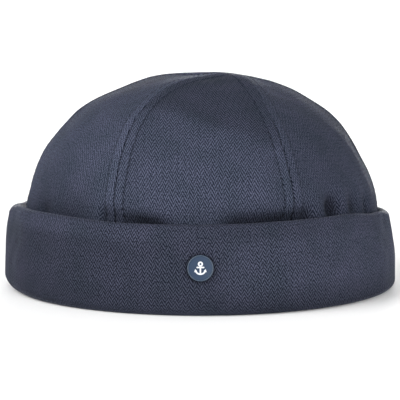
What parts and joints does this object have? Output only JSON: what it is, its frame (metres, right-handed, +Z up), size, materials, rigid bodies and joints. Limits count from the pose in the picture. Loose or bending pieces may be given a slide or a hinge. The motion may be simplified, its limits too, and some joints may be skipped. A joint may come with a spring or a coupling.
{
  "type": "docker beanie",
  "caption": "Low round brimless cap of sewn wool panels with a broad turned-up cuff and a small round badge on its front, worn on the head for warmth.",
  "frame": {"origin": "on the ground, under the middle of the hat", "axes": "+Z up, -Y towards the front with the badge, +X to the right seen from the front"},
  "size_m": [0.1992, 0.2154, 0.1074],
  "materials": {
    "crown_wool": "matte herringbone wool, blue grey",
    "cuff_wool": "matte herringbone wool, blue grey",
    "badge_metal": "glossy dark blue",
    "badge_enamel": "glossy blue enamel with a white relief",
    "rivet_metal": "plain steel"
  },
  "bodies": {
    "root": {"crown_panel_front": "crown_wool", "crown_panel_front_right": "crown_wool", "crown_panel_back_right": "crown_wool", "crown_panel_back": "crown_wool", "crown_panel_back_left": "crown_wool", "crown_panel_front_left": "crown_wool", "turn_up_cuff": "cuff_wool", "badge_cap": "badge_metal", "badge_face": "badge_enamel", "badge_rivet": "rivet_metal"}
  },
  "joints": []
}
